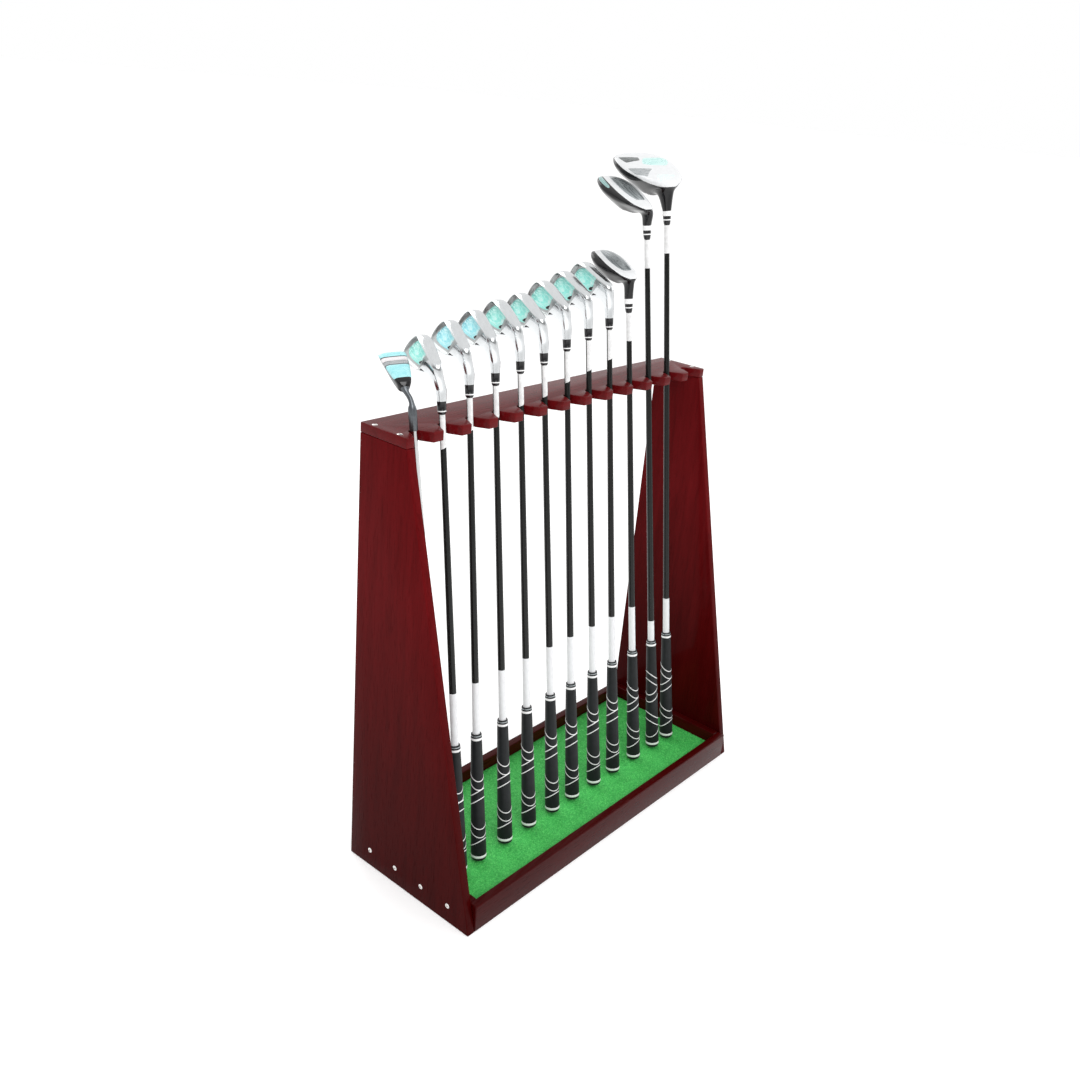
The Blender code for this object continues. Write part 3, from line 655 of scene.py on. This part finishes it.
class Head:
    """A head's surface: t runs over its key sections from the hosel to the toe, and angle round each."""

    def __init__(self, club):
        self.club = club
        self.kind, length, _, loft, turn, self.size = CLUBS[club]
        self.slot = SLOTS[self.kind]
        self.loft = math.radians(loft)
        self.matrix = club_matrix(club) @ head_matrix(self.kind, length, turn)
        lie, sole = LIE[self.kind], SOLE_DISTANCE[self.kind]
        hosel = 1000 * (PUTTER_HOSEL_RADIUS if self.kind == "putter" else HOSEL_RADIUS)
        keys = [hosel_station(sole - 1, hosel, lie)]
        if self.kind == "putter":
            keys += [hosel_station(sole - 11, hosel - 0.4, lie), hosel_station(sole - 17, hosel - 2.4, lie)]
            keys += PUTTER_STATIONS
        elif self.kind == "iron":
            keys += [hosel_station(sole - 18, hosel + 1.3, lie), *IRON_STATIONS]
        else:
            keys += [hosel_station(sole - 4, hosel + 0.2, lie), *wood_stations(self.kind)]
            self.size = WOOD_SKIN_SIZE
            self.matrix = Matrix.Translation((0, 0, -WOOD_SKIN_DROP)) @ self.matrix
        self.keys = [(*top, *bottom, *at_top, *at_sole, power, share)
                     for top, bottom, at_top, at_sole, power, share in keys]
        self.last = len(self.keys) - 1

    def row(self, t):
        """A section's numbers at t, on a smooth curve through the key sections."""
        t = min(max(t, 0.0), self.last)
        index = min(int(t), self.last - 1)
        t -= index
        near = [self.keys[min(max(index + k, 0), self.last)] for k in (-1, 0, 1, 2)]
        weights = ((-t + 2 * t**2 - t**3) / 2, (2 - 5 * t**2 + 3 * t**3) / 2,
                   (t + 4 * t**2 - 3 * t**3) / 2, (t**3 - t**2) / 2)
        return [sum(weight * value for weight, value in zip(weights, four)) for four in zip(*near)]

    def point(self, t, angle):
        """In head millimetres (a, b, c)."""
        top_a, top_b, sole_a, sole_b, top_face, top_back, sole_face, sole_back, power, share = self.row(t)
        share, power = min(max(share, 0.0), 1.0), max(power, 2.0)
        growth = 1 + (self.size - 1) * share
        lean, squash = math.sin(self.loft) * share, 1 + (math.cos(self.loft) - 1) * share
        if self.kind in WOOD_SIZES and math.sin(angle) > 0:
            power = 2 + (power - 2) * FACE_SQUARENESS
        waves = math.cos(angle), math.sin(angle)
        up, out = (math.copysign(abs(wave) ** (2 / power), wave) for wave in waves)
        m = (up + 1) / 2
        a, b = sole_a + (top_a - sole_a) * m, sole_b + (top_b - sole_b) * m
        face, back = sole_face + (top_face - sole_face) * m, sole_back + (top_back - sole_back) * m
        c = (face + back) / 2 + out * (face - back) / 2
        if self.kind == "iron" and out < 0 and c < face - IRON_BLADE:
            cavity = eased(min(a - 11, 75 - a) / 4) * eased((0.84 - abs(up)) / 0.12)
            c += (min(face - IRON_BLADE, 0) - c) * cavity * 0.9
        elif self.kind in WOOD_SIZES and out < 0:
            b += (sole_b - b) * CROWN_SLOPE * -out * share
        return Vector((a * growth, b * squash * growth, (c + b * lean) * growth))

    def lifted(self, t, angle, lift):
        """A point lifted off the surface by that many millimetres."""
        here = self.point(t, angle)
        along = self.point(t + 0.02, angle) - self.point(t - 0.02, angle)
        around = self.point(t, angle + 0.02) - self.point(t, angle - 0.02)
        normal = around.cross(along)
        if normal.length < 1e-9:
            return here
        normal.normalize()
        middle = (self.point(t, angle + math.pi) + here) / 2
        if normal.dot(here - middle) < 0:
            normal.negate()
        return here + normal * lift

    def build(self, paints, steps, sides, slot, angles=None):
        """The skin, with steps from each key section to the next. slot: a face's paint, from its ring (-1 at
        the hosel's end) and its place in it. angles: the ring's angles at t, when they aren't even."""
        shape, local, rings = bmesh.new(), [], []
        for r in range(round(self.last * steps) + 1):
            around = angles(r / steps) if angles else [2 * math.pi * i / sides for i in range(sides)]
            rings.append([vertex(shape, self.matrix, self.point(r / steps, angle) / 1000, local)
                          for angle in around])
        poles = []
        for ring in (rings[-1], rings[0]):
            middle = sum((v.co for v in ring), Vector()) / len(ring)
            poles.append(shape.verts.new(middle))
            local.append(self.matrix.inverted() @ middle)
        skin(shape, [[poles[1]], *rings, [poles[0]]], slot=lambda r, i: slot(r - 1, i))
        node = self.club + "_head"
        finish_mesh(node + "_look", shape, paints, self.club, self.slot, (node,), 42, local)

    def patch(self, name, paint, corners, lift, bulge, steps, squareness):
        """A thin plate on the surface, between four (t, angle) corners, with rounded corners. Lift is its
        height in millimetres inside the sunk rim, and bulge what the middle adds."""
        shape, local, rows = bmesh.new(), [], []
        p00, p10, p11, p01 = corners
        for i in range(steps[0] + 1):
            row = []
            for j in range(steps[1] + 1):
                u, v = 2 * i / steps[0] - 1, 2 * j / steps[1] - 1
                rim = max(abs(u), abs(v))
                reach = (abs(u) ** squareness + abs(v) ** squareness) ** (1 / squareness)
                scale = rim / reach if rim else 1
                x, y = (u * scale + 1) / 2, (v * scale + 1) / 2
                t, angle = ((p00[k] * (1 - x) + p10[k] * x) * (1 - y) + (p01[k] * (1 - x) + p11[k] * x) * y
                            for k in (0, 1))
                height = -0.25 if rim > 0.999 else lift + bulge * (1 - rim * rim)
                row.append(shape.verts.new(self.matrix @ (self.lifted(t, angle, height) / 1000)))
                local.append((x, y, 0.0))
            rows.append(row)
        skin(shape, rows, closed=False)
        finish_mesh(f"{self.club}_{name}", shape, [paint], self.club, self.slot, (), 50, local)


def head_matrix(kind, length, turn):
    lie = math.radians(LIE[kind])
    axes = Matrix(((0, 0, 1, 0), (math.sin(lie), -math.cos(lie), 0, 0),
                   (math.cos(lie), math.sin(lie), 0, 0), (0, 0, 0, 1)))
    origin = length - BUTT_TO_HINGE + FERRULE_ABOVE + SOLE_DISTANCE[kind] / 1000
    return Matrix.Translation((0, 0, origin)) @ Matrix.Rotation(-math.radians(turn), 4, "Z") @ axes


def club_matrix(club):
    kind, length, notch, *_ = CLUBS[club]
    hinge = HINGES[club]
    radius = PUTTER_HOSEL_RADIUS if kind == "putter" else SHAFT_TIP_RADIUS + 0.0006
    seat = Vector((notch_x(notch), FRONT + NOTCH_DEPTH - radius - 3 * TOUCH, RACK_HEIGHT))
    up = (seat - hinge).normalized()
    face = (Vector((1, 0, 0)) - up * up.x).normalized()
    return Matrix.Translation(hinge) @ Matrix((face, up.cross(face), up)).transposed().to_4x4()


def angle_for(up, side, power):
    """The ring angle whose height is up; side -1 is the back and +1 the face."""
    angle = math.acos(max(-1.0, min(1.0, math.copysign(abs(up) ** (power / 2), up))))
    return angle if side > 0 else 2 * math.pi - angle


def make_iron(club):
    head = Head(club)
    steps, sides = 9, 96

    def slot(r, i):
        t, angle = (r + 0.5) / steps, 2 * math.pi * (i + 0.5) / sides
        return 1 if math.sin(angle) < 0 and 3.7 < t < 8.6 and abs(math.cos(angle)) < 0.72 else 0

    head.build(["chrome", "satin"], steps, sides, slot)
    low, high, spot = (angle_for(up, -1, 3.8) for up in (0.62, -0.60, 0.34))
    paint = "cyan" if club in ("pitching_wedge", "iron_9") else "mint"
    corners = ((4.15, low - 0.03), (7.75, low - 0.12), (7.6, high), (4.05, high + 0.05))
    head.patch("badge", paint, corners, 0.5, 0.35, (36, 24), 3.4)
    corners = ((4.22, spot + 0.10), (4.72, spot + 0.10), (4.72, spot - 0.12), (4.22, spot - 0.12))
    head.patch("badge_weight", "black", corners, 1.0, 0.3, (12, 10), 2.2)
    point, first, last = (angle_for(up, -1, 3.0) for up in (0.55, 0.35, 0.80))
    corners = ((2.95, point - 0.01), (3.6, first), (3.6, last), (2.95, point + 0.01))
    head.patch("heel_notch", "score", corners, 0.12, 0.0, (16, 8), 8.0)
    make_score_lines(head)


def make_score_lines(head):
    """Grooves across the face, as fine dark inlays that follow it."""
    shape, local = bmesh.new(), []
    for line in range(9):
        middle = angle_for(-0.62 + 0.15 * line, 1, 3.8)
        rows = []
        for step in range(13):
            t = 5.1 + 2.5 * step / 12
            rows.append([vertex(shape, head.matrix, head.lifted(t, middle + side, lift) / 1000, local)
                         for side, lift in ((-0.012, -0.25), (-0.012, 0.05), (0.012, 0.05), (0.012, -0.25))])
        skin(shape, rows)
        shape.faces.new(rows[0])
        shape.faces.new(rows[-1])
    finish_mesh(head.club + "_score_lines", shape, ["score"], head.club, head.slot, (), 30, local)


# For each wood: where the pale sole starts along the head, and its reach in degrees to the back and the face
SOLE_EDGE = {"driver": (2.55, 88, 44), "fairway": (2.9, 36, 46), "hybrid": (2.9, 50, 46)}
# Each wood's panels: name, paint, corners as (t, angle past the sole), lift, bulge, steps, squareness
WOOD_PANELS = {
    "driver": (
        ("sole_panel", "panel_light", ((5.10, 1.25), (4.85, 0.05), (4.10, 0.80), (4.40, 1.35)),
         0.3, 0.15, (30, 20), 8.0),
        ("toe_panel", "panel_dark", ((5.60, 0.95), (5.75, 0.22), (6.20, 0.16), (6.70, 1.20)),
         0.12, 0.05, (24, 16), 8.0),
        ("face_band", "panel_mint", ((5.35, 0.30), (6.15, 0.08), (6.10, -0.72), (5.05, -0.12)),
         0.12, 0.05, (24, 16), 6.0),
        ("heel_tint", "panel_tint", ((3.55, 0.62), (4.35, 0.18), (4.20, -0.20), (3.40, 0.20)),
         0.2, 0.05, (20, 14), 4.0),
    ),
    "fairway": (
        ("sole_panel", "panel_grey", ((4.4, 0.22), (7.7, 0.22), (7.7, -0.30), (4.2, -0.34)),
         0.45, 0.25, (36, 24), 2.6),
        ("skirt_panel", "panel_teal", ((5.6, 1.25), (8.5, 1.35), (8.3, 0.74), (5.8, 0.70)),
         0.25, 0.1, (30, 12), 3.0),
    ),
    "hybrid": (
        ("sole_panel", "panel_grey", ((4.4, 0.40), (7.7, 0.40), (7.7, -0.30), (4.2, -0.34)),
         0.45, 0.25, (36, 24), 2.6),
    ),
}


def make_wood(club):
    """The first half of each ring spans the pale sole, so its border with the black crown is a grid line."""
    head = Head(club)
    start, back, front = SOLE_EDGE[head.kind]
    steps, half = 10, 60

    def angles(t):
        grow = min(max((t - start) / 1.3, 0.0), 1.0)
        width = math.sqrt(1 - (1 - grow) ** 2) or 1.0
        low, high = math.pi - math.radians(front) * width, math.pi + math.radians(back) * width
        return ([low + (high - low) * i / half for i in range(half)]
                + [high + (low + math.tau - high) * i / half for i in range(half)])

    def slot(r, i):
        return 0 if i < half and r / steps > start else 1

    head.build(["white", "black"], steps, 2 * half, slot, angles)
    for name, paint, corners, *shaping in WOOD_PANELS[head.kind]:
        head.patch(name, paint, [(t, math.pi + angle) for t, angle in corners], *shaping)


# Panels across the putter's sole: name, paint, start and end along the head
PUTTER_PANELS = (
    ("sole_panel_heel", "panel_cyan", 6.32, 7.80),
    ("sole_band", "panel_pale", 8.18, 8.56),
    ("sole_panel_toe", "panel_cyan", 8.64, 9.6),
    ("sole_grey", "panel_light", 7.83, 8.15),
)


def make_putter(club):
    head = Head(club)
    steps = 9
    head.build(["putter", "black"], steps, 80, lambda r, i: 1 if 4.6 < (r + 0.5) / steps < 6.35 else 0)
    low, high = math.pi - 1.30, math.pi + 1.30
    for name, paint, start, end in PUTTER_PANELS:
        corners = ((start, high), (end, high), (end, low), (start, low))
        head.patch(name, paint, corners, 0.4, 0.0, (20, 28), 7.0)


# ---------------------------------------------------------------- grips
GRIP_TWIST = {"hybrid": 25, "fairway_wood": 80, "driver": 20}
GRIP_FLARE, GRIP_SHOULDER = 0.0004, 0.030
# The collar: distance below the grip's mouth, extra radius, paint above it
COLLAR = ((0.0, -0.0004, 0), (0.0019, 0.0, 0), (0.0022, -0.00015, 0), (0.0036, -0.00015, 2), (0.0039, 0.0, 2),
          (0.0060, 0.0, 0), (0.0066, 0.00025, 0), (0.0104, 0.00025, 1), (0.0108, 0.0, 1))
# The cap's ring: extra radius, height, paint above it
CAP = ((-0.0004, -0.0024, 0), (-0.0001, -0.0030, 1), (0.0, -0.0045, 1), (-0.0001, -0.0068, 1),
       (-0.0006, -0.0076, 0))
CAP_CURVE = 0.020
# The white lines: height above the butt, swing up and down, angle of the highest point
GRIP_LINES = ((0.165, 0.0090, 67), (0.149, 0.0090, 67), (0.1315, 0.0085, 277), (0.1155, 0.0085, 277),
              (0.0745, 0.0090, 67), (0.0585, 0.0090, 67), (0.0360, 0.0090, 277))


def grip_radius(z):
    """The grip's outside at a height above the hinge."""
    if z < GRIP_SHOULDER:
        return GRIP_CAP_RADIUS + (GRIP_BUTT_RADIUS - GRIP_CAP_RADIUS) * eased((z + 0.002) / 0.032)
    share = (z - GRIP_SHOULDER) / (GRIP_LENGTH - BUTT_TO_HINGE - 0.010 - GRIP_SHOULDER)
    return GRIP_BUTT_RADIUS + (GRIP_END_RADIUS + GRIP_FLARE - GRIP_BUTT_RADIUS) * share


def make_grip(club, place):
    """The sleeve with its cap ring and collar; its white lines are raised beads that loop round it."""
    top = GRIP_LENGTH - BUTT_TO_HINGE
    rows = [(SHAFT_BUTT_RADIUS * 0.8, top - 0.0002, 0)]
    rows += [(GRIP_END_RADIUS + GRIP_FLARE * min(down / 0.010, 1) + extra, top - down, paint)
             for down, extra, paint in COLLAR]
    z = top - 0.0112
    while z > 0.0:
        rows.append((grip_radius(z), z, 0))
        z -= 0.0035
    rows.append((grip_radius(-0.0015), -0.0015, 0))
    rows += [(GRIP_CAP_RADIUS + extra, height, paint) for extra, height, paint in CAP]
    for share in (0.93, 0.80, 0.6, 0.4, 0.2, 0.0):
        radius = GRIP_CAP_RADIUS * share
        rows.append((radius, CAP_CURVE - BUTT_TO_HINGE - math.sqrt(CAP_CURVE**2 - radius**2), 0))
    shape, local = bmesh.new(), []
    turned(shape, [row[:2] for row in rows], 64, place, local, [row[2] for row in rows[1:]])
    paints = ["rubber", "ring", "panel_grey"]
    finish_mesh(club + "_grip_look", shape, paints, club, "grip_rubber", (club + "_grip",), 50, local)
    shape, local = bmesh.new(), []
    for height, swing, turn in GRIP_LINES:
        high = math.radians(turn + GRIP_TWIST.get(club, 0))
        bead(shape, local, place, height - BUTT_TO_HINGE, swing, high)
    finish_mesh(club + "_grip_lines", shape, ["ring"], club, "grip_rubber", (), 60, local)


def bead(shape, local, place, height, swing, high):
    """A thin bead that loops round the grip, rising to its highest at one angle."""
    sides, around = 8, 72
    rings = []
    for i in range(around):
        angle = 2 * math.pi * i / around
        z = height + swing * math.cos(angle - high)
        radius = grip_radius(z)
        outward = polar(1, angle, 0)
        centre = outward * radius + Vector((0, 0, z))
        rise = -swing * math.sin(angle - high)
        tangent = Vector((-radius * math.sin(angle), radius * math.cos(angle), rise)).normalized()
        across = tangent.cross(outward)
        ring = []
        for k in range(sides):
            turn = 2 * math.pi * k / sides
            point = centre + outward * (0.00026 * math.cos(turn)) + across * (0.00088 * math.sin(turn))
            ring.append(vertex(shape, place, point, local))
        rings.append(ring)
    skin(shape, rings + rings[:1])


# ---------------------------------------------------------------- shafts, their labels and ferrules
SHAFT_WALL = 0.0014
# Where the white paint ends above the butt, when not at 0.335
WHITE_TO = {"fairway_wood": 0.285, "driver": 0.317}


def shaft_radius(z, top):
    share = min(max(z / (top - BORE_DEPTH), 0), 1)
    return SHAFT_BUTT_RADIUS + (SHAFT_TIP_RADIUS - SHAFT_BUTT_RADIUS) * share


def make_shaft(club, kind, length, place):
    """The tube: painted white above the grip, then black up to the ferrule. The putter's is plain steel."""
    rim = length - BUTT_TO_HINGE - FERRULE_BELOW
    top = rim + BORE_DEPTH - TOUCH * 2
    white_to = WHITE_TO.get(club, 0.335) - BUTT_TO_HINGE
    neck = rim - 0.002
    heights = [top, rim + 0.002, neck]
    heights += [neck + (white_to + 0.0015 - neck) * i / 24 for i in range(1, 24)]
    heights += [white_to + 0.0006, white_to, white_to - 0.0006]
    heights += [white_to - 0.001 - (white_to - 0.21) * i / 8 for i in range(9)] + [0.1, 0.0]
    profile = [(shaft_radius(z, top), z) for z in heights]
    slots = [1 if (upper + lower) / 2 < white_to else 0 for upper, lower in zip(heights, heights[1:])]
    inner = [(radius - SHAFT_WALL, z) for radius, z in (profile[-1], profile[0])]
    shape, local = bmesh.new(), []
    turned(shape, profile + inner, 40, place, local, slots + [0, 0, 0], closed=True)
    paints = ["steel_shaft", "steel_shaft"] if kind == "putter" else ["shaft", "white"]
    finish_mesh(club + "_shaft_look", shape, paints, club, "shaft_black", (club + "_shaft",), 40, local)
    if kind != "putter":
        make_label(club, kind, length, place, top)


def make_label(club, kind, length, place, top):
    """A blank label round the shaft near the ferrule. The irons' ends on a slant and reaches half round."""
    iron = kind == "iron"
    start, end, middle, half = (-0.0092, -0.061, 264, 88) if iron else (-0.0100, -0.0610, 228, 140)
    columns, rows = 24, 32
    shape, local, grid = bmesh.new(), [], []
    for i in range(rows + 1):
        line = []
        for j in range(columns + 1):
            u, v = i / rows, j / columns
            angle = math.radians(middle) + math.radians(half) * (2 * v - 1)
            slant = 0.003 * (2 * v - 1) * (2 * u - 1) if iron and u > 0.5 else 0.0
            z = length - BUTT_TO_HINGE + start + (end - start) * u + slant
            rim = i in (0, rows) or j in (0, columns)
            radius = shaft_radius(z, top) + (-0.00005 if rim else 0.00016)
            line.append(vertex(shape, place, polar(radius, angle, z), local))
        grid.append(line)
    skin(shape, grid, closed=False)
    finish_mesh(club + "_label", shape, ["label"], club, "shaft_black", (), 60, local)


# Each ferrule from the hosel down: height past the hosel's mouth, radius beside the hosel's, and 1 where a
# white ring starts or ends
WOOD_FERRULE = ((0.0150, 0.0, 0), (0.0148, 0.0004, 1), (0.0060, 0.0004, 1), (0.0058, -0.0001, 0),
                (0.0005, -0.0005, 0), (0.0002, -0.0002, 1), (-0.0018, -0.0003, 1), (-0.0020, -0.0007, 0),
                (-0.0080, -0.0016, 0), (-0.0095, -0.0022, 0))
FERRULES = {
    "iron": ((0.0112, 0.0, 0), (0.0102, 0.0, 0), (0.0100, -0.0001, 0), (-0.0030, -0.0006, 0),
             (-0.0032, -0.0005, 1), (-0.0050, -0.0007, 1), (-0.0052, -0.0009, 0), (-0.0082, -0.0015, 0),
             (-0.0088, -0.0021, 0)),
    "putter": ((0.0112, 0.0, 0), (0.0100, 0.0, 0), (0.0095, -0.0001, 0), (-0.0120, -0.0002, 0),
               (-0.0130, -0.0007, 0)),
}


def make_ferrule(club, kind, length, place):
    """The sleeve at the hosel's mouth, with its rings; the top fits the hosel and the foot the shaft."""
    origin = length - BUTT_TO_HINGE
    hosel = PUTTER_HOSEL_RADIUS if kind == "putter" else HOSEL_RADIUS
    steps = FERRULES.get(kind, WOOD_FERRULE)
    top, foot = steps[0][0], steps[-1][0]
    profile = [(hosel * 0.75, origin + top), *((hosel + extra, origin + z) for z, extra, _ in steps),
               (SHAFT_TIP_RADIUS * 0.9, origin + foot)]
    slots = [0, *(min(above[2], below[2]) for above, below in zip(steps, steps[1:])), 0]
    shape, local = bmesh.new(), []
    turned(shape, profile, 48, place, local, slots)
    paints = ["putter", "putter"] if kind == "putter" else ["ferrule", "ring"]
    finish_mesh(club + "_ferrule", shape, paints, club, SLOTS[kind], (), 40, local)


def make_clubs():
    for club, (kind, length, *_) in CLUBS.items():
        place = club_matrix(club)
        make_grip(club, place)
        make_shaft(club, kind, length, place)
        make_ferrule(club, kind, length, place)
        {"iron": make_iron, "putter": make_putter}.get(kind, make_wood)(club)


# ---------------------------------------------------------------- stage
def make_stage():
    size = 60.0
    floor = bpy.data.meshes.new("floor")
    corners = [(-size, -size, 0), (size, -size, 0), (size, size, 0), (-size, size, 0)]
    floor.from_pydata(corners, [], [(0, 1, 2, 3)])
    glow = {"Emission Color": (1, 1, 1, 1), "Emission Strength": 0.16}
    floor.materials.append(Paint("floor_paint", (0.95, 0.95, 0.95), 0.6, **glow).material)
    ground = add_object("studio_floor", floor)
    ground.location.z = -0.0006
    make_world()
    for name, place, aim, size, power in (
        ("key", (-1.6, -2.2, 2.6), (0, 0, 0.5), 1.8, 60),
        ("side", (2.6, -1.2, 1.8), (0, 0, 0.6), 1.4, 20),
        ("back", (0.3, 2.6, 2.2), (0, 0, 0.7), 1.8, 20),
    ):
        lamp = bpy.data.lights.new(name, "AREA")
        lamp.size, lamp.energy = size, power
        light = add_object(name, lamp)
        light.location = place
        light.rotation_euler = (Vector(place) - Vector(aim)).to_track_quat("Z", "Y").to_euler()


def make_world():
    """A white studio, dim behind the camera near the horizon, which gives the steel its dark edges."""
    world = bpy.data.worlds.new("studio")
    bpy.context.scene.world = world
    world.use_nodes = True
    nodes = Nodes(world.node_tree)
    direction = nodes.node("ShaderNodeTexCoord").outputs["Generated"]
    rearward = nodes.node("ShaderNodeVectorMath", operation="DOT_PRODUCT")
    rearward.inputs[1].default_value = (-0.78, -0.62, 0.0)
    nodes.link(direction, rearward.inputs[0])
    black, white = (0, 0, 0), (1, 1, 1)
    behind = nodes.ramp(rearward.outputs["Value"], (0.05, black), (0.55, white))
    low = nodes.ramp(nodes.axis(direction, "Z"), (0.30, white), (0.62, black))
    shade = nodes.mix(nodes.product(behind, low), white, (0.34, 0.34, 0.34))
    nodes.link(shade, nodes.tree.nodes["Background"].inputs["Color"])


def make_camera():
    data = bpy.data.cameras.new("camera")
    data.sensor_width, data.lens = 36.0, 36.204
    data.clip_start, data.clip_end = 0.05, 200.0
    yaw, pitch, roll = -0.8925, 0.3986, 0.0928
    back = Vector((math.sin(yaw) * math.cos(pitch), -math.cos(yaw) * math.cos(pitch), math.sin(pitch)))
    right = Vector((math.cos(yaw), math.sin(yaw), 0))
    up = back.cross(right)
    c, s = math.cos(roll), math.sin(roll)
    turned_axes = Matrix((right * c + up * s, up * c - right * s, back)).transposed().to_4x4()
    camera = add_object("camera", data)
    camera.matrix_world = Matrix.Translation((-1.43256, -1.05602, 1.2928)) @ turned_axes
    bpy.context.scene.camera = camera


make_rack()
make_clubs()
make_stage()
make_camera()
bpy.context.scene.view_settings.view_transform = "Standard"
